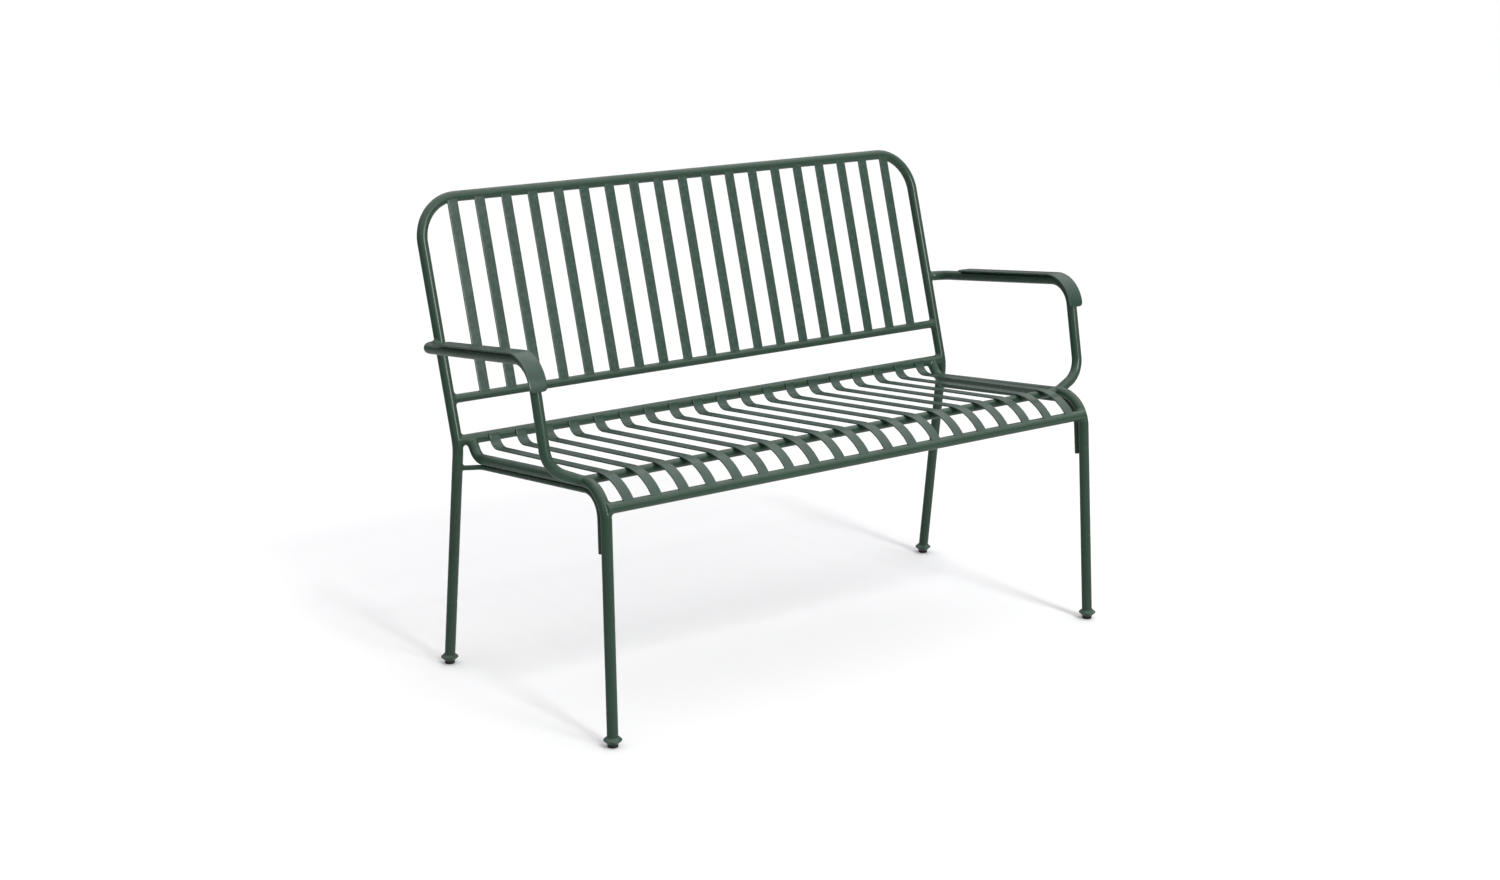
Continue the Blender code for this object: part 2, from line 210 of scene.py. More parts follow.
# Noise, in features per metre
CLOUD_SCALE = 7.0
FLECK_SCALE = 900.0
# Patch size of the pale grey on upward faces, which is dust and painted top light.
DUST_AND_TOP_LIGHT_SCALE = 60.0
CHIP_SCALE = 140.0
STREAK_SCALE = 26.0
SKIN_SCALE = 620.0
GRAIN_SCALE = 2400.0
SCUFF_SCALE = 180.0
MOTTLE_SCALE = 90.0
PLASTIC_GRAIN_SCALE = 1500.0
FLOOR_SCALE = 0.6

# Studio surround: (height of the direction, brightness), and its -X and +X sides
SURROUND = ((-1.0, 0.50), (-0.35, 0.45), (-0.04, 0.16), (0.08, 0.13), (0.9, 1.38))
SURROUND_BLUE = 1.01
SIDE_DIM = 0.68
SIDE_BRIGHT = 1.20

# Studio floor and backdrop
FLOOR_HALF = 90.0
FLOOR_CELLS = 8
BACKDROP_R = 60.0
BACKDROP_LOW = -0.5
BACKDROP_H = 60.0
BACKDROP_SIDES = 96
BACKDROP_GLOW = 0.98

# Lamps and camera
SUN_POWER = 0.92
SUN_ANGLE = math.radians(9.0)
SUN_PLACE = (0.0, -4.2, 4.4)
SUN_TARGET = (0.0, -0.1, 0.2)
BOX_POWER = 78.0
BOX_WIDTH = 1.2
BOX_HEIGHT = 1.8
BOX_PLACE = (0.7, -4.4, 2.3)
BOX_TARGET = (0.0, 0.0, 0.6)
SENSOR_MM = 36.0
LENS_MM = 53.38
CAMERA_PLACE = (-2.3821, -3.1639, 1.4062)
CAMERA_TILT = math.radians(75.427)
CAMERA_PAN = math.radians(-36.392)

ALONG_X = Vector((1.0, 0.0, 0.0))
GREEN = "green_powder_coat"
BLACK = "black_glide"
SIDES = (("left", -1), ("right", 1))


# ---------------------------------------------------------------- centre lines

def front_leg_at(z):
    """Centre of the +X front leg at a height."""
    return Vector((FRONT_FOOT.x - LEG_SPLAY * z, FRONT_FOOT.y + LEG_LEAN * z, z))


def rear_leg_at(z):
    """Centre of the +X rear leg at a height below the seat."""
    return REAR_FOOT.lerp(REAR_BEND, z / REAR_BEND.z)


def upright_at(z):
    """Centre of the +X back upright at a height above the seat."""
    return Vector((REAR_BEND.x, REAR_BEND.y + RECLINE * (z - REAR_BEND.z), z))


def side_z(y):
    """Height of a seat side tube's centre line."""
    return SEAT_Z - SIDE_FALL * (y - FRONT_FOOT.y)


def seat_corner():
    """Where the +X front leg's and seat side's centre lines meet."""
    return front_leg_at(SEAT_Z / (1 + SIDE_FALL * LEG_LEAN))


def mirror_x(points, side):
    """Points for the +X side as they are, for the -X side mirrored."""
    return [Vector((p[0] * side, p[1], p[2])) for p in points]


def rounded_path(points, radii):
    """A polyline whose inner corners are fine arcs of the given radii."""
    path = [Vector(points[0])]
    for before, corner, after, radius in zip(points, points[1:], points[2:], radii):
        incoming = (Vector(before) - Vector(corner)).normalized()
        outgoing = (Vector(after) - Vector(corner)).normalized()
        half = incoming.angle(outgoing) / 2
        bisector = (incoming + outgoing).normalized()
        centre = Vector(corner) + bisector * (radius / math.sin(half))
        start = Vector(corner) + incoming * (radius / math.tan(half)) - centre
        end = Vector(corner) + outgoing * (radius / math.tan(half)) - centre
        turn = start.rotation_difference(end)
        steps = max(LEAST_ARC_STEPS, math.ceil(turn.angle / ARC_STEP))
        for step in range(steps + 1):
            part = turn.copy()
            part.angle = turn.angle * step / steps
            path.append(centre + part @ start)
    path.append(Vector(points[-1]))
    return path


def in_side(point):
    """A place's (y, z), as seen along the bench."""
    return Vector((point.y, point.z))


def direction_at(angle):
    """Unit (y, z) direction at an angle above +Y."""
    return Vector((math.cos(angle), math.sin(angle)))


def to_left(direction):
    """A (y, z) direction turned a quarter turn from +Y towards +Z."""
    return Vector((-direction.y, direction.x))


def back_slope():
    """Unit (y, z) direction up the reclined back."""
    return Vector((RECLINE, 1.0)).normalized()


def leg_path(side):
    """Centre line of a front leg with its seat side."""
    corner = seat_corner()
    points = [
        front_leg_at(LEG_END_Z),
        corner,
        (corner.x, TAIL_Y, side_z(TAIL_Y)),
        (corner.x, upright_at(REAR_RAIL_Z).y, REAR_RAIL_Z),
    ]
    return rounded_path(mirror_x(points, side), (SEAT_BEND_R, TAIL_BEND_R))


def back_path():
    """Centre line of the rear legs, uprights and top rail in one bent tube."""
    half = [rear_leg_at(LEG_END_Z), REAR_BEND, upright_at(TOP_Z)]
    points = mirror_x(half, -1) + mirror_x(reversed(half), 1)
    return rounded_path(points, (REAR_BEND_R, TOP_BEND_R, TOP_BEND_R, REAR_BEND_R))


def arm_front_z():
    """Height of the arm's centre line at its front corner."""
    return ARM_REAR_Z + ARM_RISE * (upright_at(ARM_REAR_Z).y - ARM_FRONT_Y)


def arm_path(side):
    """Centre line of an arm, from the upright round to the seat side."""
    root = upright_at(ARM_REAR_Z)
    points = [
        root,
        (ARM_X, root.y, root.z),
        (ARM_FRONT_X, ARM_FRONT_Y, arm_front_z()),
        (ARM_X, ARM_LOW_Y, ARM_LOW_Z),
        (seat_corner().x, ARM_LANDING_Y, side_z(ARM_LANDING_Y)),
    ]
    return rounded_path(mirror_x(points, side), (ARM_ELBOW_R, ARM_FRONT_R, ARM_LOW_R))


def brace_path(side):
    """Centre line of the rod under a seat side."""
    front_y = front_leg_at(SEAT_Z).y + BRACE_STANDOFF
    low = front_leg_at(BRACE_END_Z)
    side_x = seat_corner().x
    points = [
        rear_leg_at(BRACE_REAR_Z),
        (side_x, BRACE_SWING_Y, side_z(BRACE_SWING_Y) - BRACE_DROP),
        (side_x, front_y, side_z(front_y) - BRACE_DROP),
        (low.x, low.y + BRACE_STANDOFF, BRACE_END_Z),
    ]
    return rounded_path(mirror_x(points, side), (BRACE_SWING_R, BRACE_BEND_R))


def slat_flat_z(y):
    """Height of a seat slat's mid line over its flat run."""
    over_support = side_z(SUPPORT_Y) + RAIL_R + GAP + STRIP_T / 2
    return over_support - SLAT_FALL * (y - SUPPORT_Y)


def rail_contact(rail, angle, reach):
    """A strip's mid line beside a rail's front, (y, z), at an angle from the rail's top."""
    return Vector((rail.y - reach * math.sin(angle), rail.z + reach * math.cos(angle)))


def slope_to_flat_run(contact, angle):
    """How far a line at this angle runs from the contact to the slats' flat run."""
    rise = slat_flat_z(contact.x) - contact.y
    return rise / (math.sin(angle) + SLAT_FALL * math.cos(angle))


def slat_profile():
    """Mid line of a seat slat in (y, z), flush with the front rail and lapped on the rear one."""
    flush = MAIN_R - STRIP_T / 2 - FLUSH_SINK
    lapped = MAIN_R + GAP + STRIP_T / 2
    front = rail_contact(front_leg_at(FRONT_RAIL_Z), SLAT_FRONT_ANGLE, flush)
    rear = rail_contact(upright_at(REAR_RAIL_Z), SLAT_REAR_ANGLE, lapped)
    front_up = direction_at(SLAT_FRONT_ANGLE)
    rear_up = direction_at(SLAT_REAR_ANGLE)
    points = [
        front,
        front + front_up * slope_to_flat_run(front, SLAT_FRONT_ANGLE),
        rear + rear_up * slope_to_flat_run(rear, SLAT_REAR_ANGLE),
        rear + rear_up * SLAT_REAR_LAP,
    ]
    path = rounded_path([(*p, 0.0) for p in points], (SLAT_FRONT_R, SLAT_REAR_R))
    return [Vector((p.x, p.y)) for p in path]


def back_slat_profile():
    """Mid line of a back slat in (y, z), set into both rails just behind their fronts."""
    forward = to_left(back_slope())
    depth = BACK_SLAT_INSET + STRIP_T / 2
    low = in_side(upright_at(LOWER_RAIL_Z))
    high = in_side(upright_at(TOP_Z))
    return [low + forward * (RAIL_R - depth), high + forward * (MAIN_R - depth)]


def pad_profile():
    """Mid line of an arm pad in (y, z), over the arm tube and round its front bend."""
    reach = MAIN_R + GAP + PAD_T / 2
    corner = Vector((ARM_FRONT_Y, arm_front_z()))
    along = Vector((1.0, -ARM_RISE)).normalized()
    down = (Vector((ARM_LOW_Y, ARM_LOW_Z)) - corner).normalized()
    lift = to_left(along) * reach
    push = Vector((down.y, -down.x)) * reach
    bisector = (lift + push).normalized()
    outer = corner + bisector * (reach / bisector.dot(lift.normalized()))
    rear = corner + along * ((PAD_REAR_Y - corner.x) / along.x) + lift
    front = corner + down * ((corner.y - PAD_FRONT_Z) / -down.y) + push
    points = [(*rear, 0.0), (*outer, 0.0), (*front, 0.0)]
    path = rounded_path(points, (ARM_FRONT_R + reach,))
    return [Vector((p.x, p.y)) for p in path]


# ---------------------------------------------------------------- mesh makers

def new_object(name, edit, sharp=BODY_SHARP):
    """Turn an edit mesh into an object with smooth shading and sharp edges."""
    bmesh.ops.recalc_face_normals(edit, faces=edit.faces)
    mesh = bpy.data.meshes.new(name)
    edit.to_mesh(mesh)
    edit.free()
    mesh.shade_smooth()
    mesh.set_sharp_from_angle(angle=sharp)
    obj = bpy.data.objects.new(name, mesh)
    bpy.context.scene.collection.objects.link(obj)
    return obj


def add_rings(edit, rings, closed_loop=False):
    """Skin a list of equal rings of vertices, with caps unless they close on themselves."""
    count = len(rings[0])
    pairs = list(zip(rings, rings[1:]))
    if closed_loop:
        pairs.append((rings[-1], rings[0]))
    for first, second in pairs:
        for k in range(count):
            j = (k + 1) % count
            edit.faces.new((first[k], first[j], second[j], second[k]))
    if not closed_loop:
        edit.faces.new(list(reversed(rings[0])))
        edit.faces.new(rings[-1])


def circle(count):
    """Cosine and sine at equal steps round a circle."""
    for k in range(count):
        angle = 2 * math.pi * k / count
        yield math.cos(angle), math.sin(angle)


def swept_rings(edit, path, radii, sides):
    """Rings of vertices across a path, kept from twisting."""
    rings = []
    last = None
    across = None
    for i, point in enumerate(path):
        before = path[max(i - 1, 0)]
        after = path[min(i + 1, len(path) - 1)]
        tangent = (after - before).normalized()
        if last is None:
            across = tangent.orthogonal().normalized()
        else:
            across = (last.rotation_difference(tangent) @ across).normalized()
        last = tangent
        other = tangent.cross(across)
        ring = [point + (across * c + other * s) * radii[i] for c, s in circle(sides)]
        rings.append([edit.verts.new(spot) for spot in ring])
    return rings


def tube(name, path, radius, sides=TUBE_SIDES, ease=TUBE_EASE):
    """A round bar along a path, with eased ends."""
    first = (path[1] - path[0]).normalized()
    last = (path[-2] - path[-1]).normalized()
    path = [path[0], path[0] + first * ease, *path[1:-1], path[-1] + last * ease, path[-1]]
    radii = [radius - ease] + [radius] * (len(path) - 2) + [radius - ease]
    edit = bmesh.new()
    add_rings(edit, swept_rings(edit, path, radii, sides))
    return new_object(name, edit)


def bar_section(half_width, half_depth, edge):
    """A flat bar's rounded section as (across, through, edge weight) points."""
    points = []
    margin = min(WEAR_MARGIN, half_width * 0.3)
    for sx, sy, start in ((1, 1, 0.0), (-1, 1, 0.5), (-1, -1, 1.0), (1, -1, 1.5)):
        corner = []
        for step in range(CORNER_STEPS + 1):
            angle = math.pi * (start + 0.5 * step / CORNER_STEPS)
            across = sx * (half_width - edge) + edge * math.cos(angle)
            through = sy * (half_depth - edge) + edge * math.sin(angle)
            corner.append((across, through, 1.0))
        inner = (sx * (half_width - edge - margin), sy * half_depth, 0.0)
        points += corner + [inner] if sx * sy > 0 else [inner] + corner
    return points


def end_stations(length, corner):
    """Distances along a bar, close together where its corners are rounded."""
    quarter = math.pi / 2
    near = [corner * (1 - math.cos(quarter * k / END_STEPS)) for k in range(END_STEPS + 1)]
    return near + [length - d for d in reversed(near)]


def distances(profile):
    """How far along a polyline each of its points is."""
    lengths = [0.0]
    for a, b in zip(profile, profile[1:]):
        lengths.append(lengths[-1] + (b - a).length)
    return lengths


def along_profile(profile, distance):
    """Point and direction at a distance along a (y, z) polyline."""
    for a, b in zip(profile, profile[1:]):
        step = (b - a).length
        if distance <= step or b is profile[-1]:
            return a + (b - a) * (distance / step), (b - a).normalized()
        distance -= step


def flat_bar(name, profile, x, width, thickness, edge, corner):
    """A rolled flat bar centred on x, bent along a (y, z) profile, with rounded edges."""
    lengths = distances(profile)
    total = lengths[-1]
    stations = end_stations(total, corner)
    stations += [d for d in lengths if corner * 1.2 < d < total - corner * 1.2]
    edit = bmesh.new()
    wear = edit.verts.layers.float.new("edge_wear")
    rings = []
    for distance in sorted(stations):
        point, direction = along_profile(profile, distance)
        normal = to_left(direction)
        near = min(distance, total - distance)
        half_width = width / 2
        if near < corner:
            half_width += math.sqrt(corner ** 2 - (corner - near) ** 2) - corner
        inset = edge - math.sqrt(edge ** 2 - max(edge - near, 0.0) ** 2)
        inset = min(inset, edge * 0.8)
        ring = []
        section = bar_section(half_width - inset, thickness / 2 - inset, edge - inset)
        for across, through, weight in section:
            spot = point + normal * through
            vert = edit.verts.new((x + across, spot.x, spot.y))
            vert[wear] = 1.0 if near < edge * 1.5 else weight
            ring.append(vert)
        rings.append(ring)
    add_rings(edit, rings)
    return new_object(name, edit)


def lathe(name, outline, centre):
    """A body turned about a vertical axis, from a closed (radius, z) outline."""
    edit = bmesh.new()
    rings = []
    for c, s in circle(LATHE_STEPS):
        turned = [(centre.x + r * c, centre.y + r * s, z) for r, z in outline]
        rings.append([edit.verts.new(spot) for spot in turned])
    add_rings(edit, rings, closed_loop=True)
    return new_object(name, edit)


def surface_of(obj):
    """A search tree over an object's own mesh."""
    edit = bmesh.new()
    edit.from_mesh(obj.data)
    tree = BVHTree.FromBMesh(edit)
    edit.free()
    return tree


def add_fillet(edit, root, direction, radius, tree, leg):
    """A rippled weld fillet where the end of a round bar meets another bar."""
    direction = direction.normalized()
    across = direction.orthogonal().normalized()
    other = direction.cross(across)
    proud = radius * FILLET_PROUD
    rings = []
    for k in range(FILLET_STEPS):
        angle = 2 * math.pi * k / FILLET_STEPS
        out = across * math.cos(angle) + other * math.sin(angle)
        start = root - direction * FILLET_REACH + out * radius * FILLET_START
        hit, normal, _, _ = tree.ray_cast(start, direction, FILLET_REACH * 1.2)
        if hit is None:
            hit = start + direction * FILLET_REACH
            normal = out
        thin = 1 - FILLET_THIN * max(out.dot(normal), 0.0)
        ripple = 1 + FILLET_RIPPLE_DEPTH * math.sin(angle * FILLET_RIPPLES)
        size = leg * thin * ripple
        along = (out - normal * out.dot(normal) + direction * 1e-4).normalized()
        near, near_normal, _, _ = tree.find_nearest(hit + along * size)
        top = hit - direction * size + out * (proud - FILLET_SINK)
        foot = near - near_normal * FILLET_SINK
        middle = hit + (along - direction) * size * FILLET_BULGE + out * proud
        # Two more points round the face off between its edges and its middle.
        crest = top.lerp(middle, 0.55).lerp(middle.lerp(foot, 0.10), 0.35)
        heel = middle.lerp(foot, 0.45).lerp(top.lerp(middle, 0.90), 0.35)
        inner = hit - (out + normal).normalized() * FILLET_ROOT
        rings.append([edit.verts.new(p) for p in (top, crest, middle, heel, foot, inner)])
    add_rings(edit, rings, closed_loop=True)


def add_bead(edit, centre, along, half_length, radius):
    """A short rippled weld bead with rounded ends."""
    along = along.normalized()
    path = []
    radii = []
    for k in range(BEAD_STEPS + 1):
        s = -math.cos(math.pi * k / BEAD_STEPS)
        path.append(centre + along * half_length * s)
        swell = (1 - min(abs(s), 0.999) ** 4) ** 0.5
        ripple = 1 + BEAD_RIPPLE_DEPTH * math.sin(k * BEAD_RIPPLE_TURN)
        radii.append(max(radius * swell * ripple, radius * BEAD_TIP))
    add_rings(edit, swept_rings(edit, path, radii, BEAD_SIDES))


# ---------------------------------------------------------------- materials

def add_node(tree, kind, location, **values):
    """A shader node with some of its properties and inputs set."""
    node = tree.nodes.new(kind)
    node.location = location
    for key, value in values.items():
        if key in node.inputs:
            node.inputs[key].default_value = value
        else:
            setattr(node, key, value)
    return node


def noise(tree, coords, scale, detail, location):
    """3-D noise in metres of the model's own frame."""
    node = add_node(tree, "ShaderNodeTexNoise", location, Scale=scale, Detail=detail)
    tree.links.new(coords, node.inputs["Vector"])
    return node.outputs["Fac"]


def spread(tree, value, low, high, out_low, out_high, location):
    """Map a value from one range to another."""
    node = add_node(tree, "ShaderNodeMapRange", location)
    tree.links.new(value, node.inputs["Value"])
    names = ("From Min", "From Max", "To Min", "To Max")
    for name, number in zip(names, (low, high, out_low, out_high)):
        node.inputs[name].default_value = number
    return node.outputs["Result"]


def times(tree, a, b, location):
    """The product of two values."""
    node = add_node(tree, "ShaderNodeMath", location, operation="MULTIPLY")
    tree.links.new(a, node.inputs[0])
    tree.links.new(b, node.inputs[1])
    return node.outputs[0]


def blend_color(tree, factor, a, b, location):
    """Mix two colours. Each is a socket or a fixed colour."""
    node = add_node(tree, "ShaderNodeMix", location, data_type="RGBA")
    tree.links.new(factor, node.inputs[0])
    for socket, value in ((node.inputs[6], a), (node.inputs[7], b)):
        if isinstance(value, tuple):
            socket.default_value = (*value, 1.0)
        else:
            tree.links.new(value, socket)
    return node.outputs[2]


def bump(tree, height, strength, distance, location, normal=None):
    """Bump from a height value, on top of an earlier one if there is one."""
    node = add_node(tree, "ShaderNodeBump", location, Strength=strength, Distance=distance)
    tree.links.new(height, node.inputs["Height"])
    if normal is not None:
        tree.links.new(normal, node.inputs["Normal"])
    return node.outputs["Normal"]


def start_material(name):
    """A node material with its tree, shader and object coordinates."""
    material = bpy.data.materials.new(name)
    material.use_nodes = True
    tree = material.node_tree
    shader = tree.nodes["Principled BSDF"]
    coords = add_node(tree, "ShaderNodeTexCoord", (-1500, 0)).outputs["Object"]
    return material, tree, shader, coords


def powder_coat(name, greens, peel):
    """Satin powder coat: orange peel, batch variation, thin dust with painted top light on upward
    faces, and rubbed edges.
    """
    material, tree, shader, coords = start_material(name)
    cloud = noise(tree, coords, CLOUD_SCALE, 4.0, (-1250, 300))
    batch = spread(tree, cloud, 0.3, 0.7, 0.0, 1.0, (-1000, 300))
    base = blend_color(tree, batch, *greens, (-800, 300))
    fleck = noise(tree, coords, FLECK_SCALE, 2.0, (-1250, 100))
    speck = spread(tree, fleck, 0.62, 0.78, 0.0, 0.05, (-1000, 100))
    base = blend_color(tree, speck, base, RUBBED, (-600, 250))

    geometry = add_node(tree, "ShaderNodeNewGeometry", (-1500, -250))
    parts = add_node(tree, "ShaderNodeSeparateXYZ", (-1300, -250))
    tree.links.new(geometry.outputs["Normal"], parts.inputs[0])
    # Upward-facing faces made paler and greyer in patches: thin dust, and painted top light as
    # well.
    upward = spread(tree, parts.outputs["Z"], 0.55, 1.0, 0.0, 0.10, (-1100, -250))
    patches = noise(tree, coords, DUST_AND_TOP_LIGHT_SCALE, 5.0, (-1250, -450))
    dust_and_light_patches = spread(tree, patches, 0.35, 0.7, 0.2, 1.0, (-1000, -450))
    dust_and_top_light = times(tree, upward, dust_and_light_patches, (-850, -300))
    base = blend_color(tree, dust_and_top_light, base, DUST_AND_TOP_LIGHT, (-400, 200))

    edge = add_node(tree, "ShaderNodeAttribute", (-1500, -650), attribute_name="edge_wear")
    chips = noise(tree, coords, CHIP_SCALE, 4.0, (-1250, -650))
    chipped = spread(tree, chips, 0.42, 0.66, 0.0, 0.22, (-1000, -650))
    rubbed = times(tree, edge.outputs["Fac"], chipped, (-800, -650))
    base = blend_color(tree, rubbed, base, RUBBED, (-200, 200))
    tree.links.new(base, shader.inputs["Base Color"])

    streak = noise(tree, coords, STREAK_SCALE, 6.0, (-1250, -900))
    gloss = spread(tree, streak, 0.3, 0.7, *COAT_ROUGHNESS, (-1000, -900))
    tree.links.new(gloss, shader.inputs["Roughness"])
    skin = noise(tree, coords, SKIN_SCALE, 2.0, (-1250, -1100))
    grain = noise(tree, coords, GRAIN_SCALE, 2.0, (-1250, -1300))
    relief = bump(tree, skin, peel, 0.00025, (-700, -1100))
    relief = bump(tree, grain, peel * 0.5, 0.00008, (-450, -1200), relief)
    tree.links.new(relief, shader.inputs["Normal"])
    shader.inputs["Specular IOR Level"].default_value = 0.5
    return material


def moulded_plastic(name):
    """Matte black moulded plastic with scuffs."""
    material, tree, shader, coords = start_material(name)
    scuffs = noise(tree, coords, SCUFF_SCALE, 6.0, (-1250, 200))
    scuffed = spread(tree, scuffs, 0.5, 0.75, 0.0, 0.6, (-1000, 200))
    base = blend_color(tree, scuffed, *PLASTIC_BLACKS, (-700, 200))
    tree.links.new(base, shader.inputs["Base Color"])
    mottled = noise(tree, coords, MOTTLE_SCALE, 3.0, (-1250, -100))
    gloss = spread(tree, mottled, 0.3, 0.7, *PLASTIC_ROUGHNESS, (-1000, -100))
    tree.links.new(gloss, shader.inputs["Roughness"])
    grain = noise(tree, coords, PLASTIC_GRAIN_SCALE, 3.0, (-1250, -350))
    tree.links.new(bump(tree, grain, 0.25, 0.0002, (-600, -350)), shader.inputs["Normal"])
    return material


def floor_material():
    """Plain pale studio floor."""
    material, tree, shader, coords = start_material("studio_floor")
    cloud = noise(tree, coords, FLOOR_SCALE, 2.0, (-1250, 200))
    tone = spread(tree, cloud, 0.3, 0.7, 0.0, 1.0, (-1000, 200))
    pale = blend_color(tree, tone, *FLOOR_GREYS, (-700, 200))
    tree.links.new(pale, shader.inputs["Base Color"])
    shader.inputs["Roughness"].default_value = FLOOR_ROUGHNESS
    shader.inputs["Specular IOR Level"].default_value = FLOOR_SPECULAR
    return material


def backdrop_material():
    """A plain white glow, with no colour or shine of its own."""
    material = bpy.data.materials.new("studio_backdrop")
    material.use_nodes = True
    shader = material.node_tree.nodes["Principled BSDF"]
    shader.inputs["Base Color"].default_value = (0.0, 0.0, 0.0, 1.0)
    shader.inputs["Specular IOR Level"].default_value = 0.0
    shader.inputs["Emission Color"].default_value = (1.0, 1.0, 1.0, 1.0)
    shader.inputs["Emission Strength"].default_value = BACKDROP_GLOW
    return material


COATS = {
    "tube": powder_coat("coat_tube", TUBE_GREENS, TUBE_PEEL),
    "slat": powder_coat("coat_slat", SLAT_GREENS, SLAT_PEEL),
    "weld": powder_coat("coat_weld", TUBE_GREENS, WELD_PEEL),
    "plastic": moulded_plastic("glide_plastic"),
}


def place(obj, coat, slot, *nodes):
    """Give a piece its material and its body, and hide the CAD nodes that it stands for."""
    obj.data.materials.append(COATS[coat])
    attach(obj, "root")
    if nodes:
        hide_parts(*nodes)
    return obj


# ---------------------------------------------------------------- the bench

def middle(node):
    """Centre of a CAD node's box."""
    low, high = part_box(node)
    return (Vector(low) + Vector(high)) / 2


def cross_rail(node, half_length, radius):
    """A straight rail through a CAD rail's middle."""
    centre = middle(node)
    ends = [Vector((x, centre.y, centre.z)) for x in (-half_length, half_length)]
    return place(tube(node + "_tube", ends, radius), "tube", GREEN, node)


def make_frame():
    """Bent tubes and rails. Returns the tubes that weld fillets are laid against."""
    back = place(tube("back_tube", back_path(), MAIN_R), "tube", GREEN, "back_frame")
    rear = cross_rail("seat_rear_rail", REAR_BEND.x, MAIN_R)
    targets = {"back": back, "rear": rear}
    cross_rail("back_lower_rail", REAR_BEND.x, RAIL_R)
    cross_rail("seat_front_rail", front_leg_at(FRONT_RAIL_Z).x, MAIN_R)
    cross_rail("seat_support_tube", seat_corner().x, RAIL_R)
    for tag, side in SIDES:
        leg = tube("leg_tube_" + tag, leg_path(side), MAIN_R)
        targets["leg_" + tag] = place(leg, "tube", GREEN, "side_leg_" + tag)
        arm = tube("arm_tube_" + tag, arm_path(side), MAIN_R)
        place(arm, "tube", GREEN, "arm_" + tag)
        brace = tube("brace_rod_" + tag, brace_path(side), BRACE_R, THIN_SIDES, BRACE_EASE)
        place(brace, "tube", GREEN, "brace_" + tag)
    return targets


def bar_on_node(name, node, profile, *section):
    """A flat bar with a CAD node's place and width along X."""
    low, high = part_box(node)
    x = (low[0] + high[0]) / 2
    bar = flat_bar(name, profile, x, high[0] - low[0], *section)
    place(bar, "slat", GREEN, node)


def make_pads():
    """Flat pads with rounded ends, bent over the arm tubes."""
    for tag, _ in SIDES:
        section = (PAD_T, PAD_EDGE, PAD_CORNER)
        bar_on_node("pad_bar_" + tag, "arm_pad_" + tag, pad_profile(), *section)


def slat_nodes(start):
    """The CAD slats whose names start so, from -X to +X."""
    return sorted(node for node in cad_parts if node.startswith(start))


def make_slats():
    """Seat and back slats, each where its CAD node is."""
    for start, profile in (("seat_slat_", slat_profile()), ("back_slat_", back_slat_profile())):
        for node in slat_nodes(start):
            bar_on_node(node + "_bar", node, profile, STRIP_T, STRIP_EDGE, STRIP_CORNER)


def collar_outline(rim, low, high):
    """A double cone with a rounded rim, as a closed (radius, z) outline."""
    mid = (low + high) / 2
    neck = MAIN_R + COLLAR_NECK
    upper = [
        (MAIN_R - COLLAR_BORE_SINK, high),
        (neck - COLLAR_EASE_R, high),
        (neck, high - COLLAR_EASE_H),
        (neck + COLLAR_CONE_R, high - COLLAR_CONE_H),
    ]
    upper += [(rim - inward, mid + lift) for inward, lift in COLLAR_RIM]
    lower = [(r, low + high - z) for r, z in reversed(upper)]
    return [*upper, (rim, mid), *lower]


def glide_outline(radius):
    """A grooved plug with a rounded foot, as a closed (radius, z) outline."""
    shoulder = LEG_END_Z - GLIDE_SHOULDER_DROP
    stem = radius * GLIDE_STEM_SHARE
    groove = radius - GROOVE_DEPTH
    foot = [(radius - inward, z) for inward, z in GLIDE_FOOT]
    return [
        (GLIDE_CORE_R, shoulder + GLIDE_STEM_H),
        (stem, shoulder + GLIDE_STEM_H),
        (stem, shoulder),
        (radius - GLIDE_EASE, shoulder),
        (radius, shoulder - GLIDE_EASE),
        (radius, GROOVE_Z + GROOVE_HALF),
        (groove, GROOVE_Z + GROOVE_FLOOR_HALF),
        (groove, GROOVE_Z - GROOVE_FLOOR_HALF),
        (radius, GROOVE_Z - GROOVE_HALF),
        *foot,
        (GLIDE_CORE_R, 0.0),
    ]


def make_feet():
    """Double-cone collars and black glides."""
    for tag in ("front_left", "front_right", "rear_left", "rear_right"):
        collar = "collar_" + tag
        low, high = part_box(collar)
        outline = collar_outline((high[0] - low[0]) / 2, low[2], high[2])
        place(lathe("collar_ring_" + tag, outline, middle(collar)), "tube", GREEN, collar)
        glide = "glide_" + tag
        low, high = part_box(glide)
        outline = glide_outline((high[0] - low[0]) / 2)
        place(lathe("glide_plug_" + tag, outline, middle(glide)), "plastic", BLACK, glide)


def make_joint_welds(targets):
    """Fillets where tubes end on other tubes."""
    edit = bmesh.new()
    surfaces = {key: surface_of(obj) for key, obj in targets.items()}
    for tag, side in SIDES:
        beside = surfaces["leg_" + tag]
        front_x = front_leg_at(FRONT_RAIL_Z).x
        for node, radius, target, x, size in (
            ("seat_rear_rail", MAIN_R, surfaces["back"], REAR_BEND.x, RAIL_FILLET),
            ("back_lower_rail", RAIL_R, surfaces["back"], REAR_BEND.x, RAIL_FILLET),
            ("seat_front_rail", MAIN_R, beside, front_x, RAIL_FILLET),
            ("seat_support_tube", RAIL_R, beside, seat_corner().x, SUPPORT_FILLET),
        ):
            centre = middle(node)
            root = Vector((x * side, centre.y, centre.z))
            add_fillet(edit, root, ALONG_X * side, radius, target, size)
        leg, arm, brace = leg_path(side), arm_path(side), brace_path(side)
        for end, inner, radius, target, size in (
            (arm[0], arm[1], MAIN_R, surfaces["back"], ARM_ROOT_FILLET),
            (arm[-1], arm[-2], MAIN_R, beside, ARM_LANDING_FILLET),
            (leg[-1], leg[-2], MAIN_R, surfaces["rear"], SIDE_END_FILLET),
            (brace[0], brace[1], BRACE_R, surfaces["back"], BRACE_FILLET),
        ):
            add_fillet(edit, end, end - inner, radius, target, size)
    place(new_object("joint_welds", edit, WELD_SHARP), "weld", GREEN)


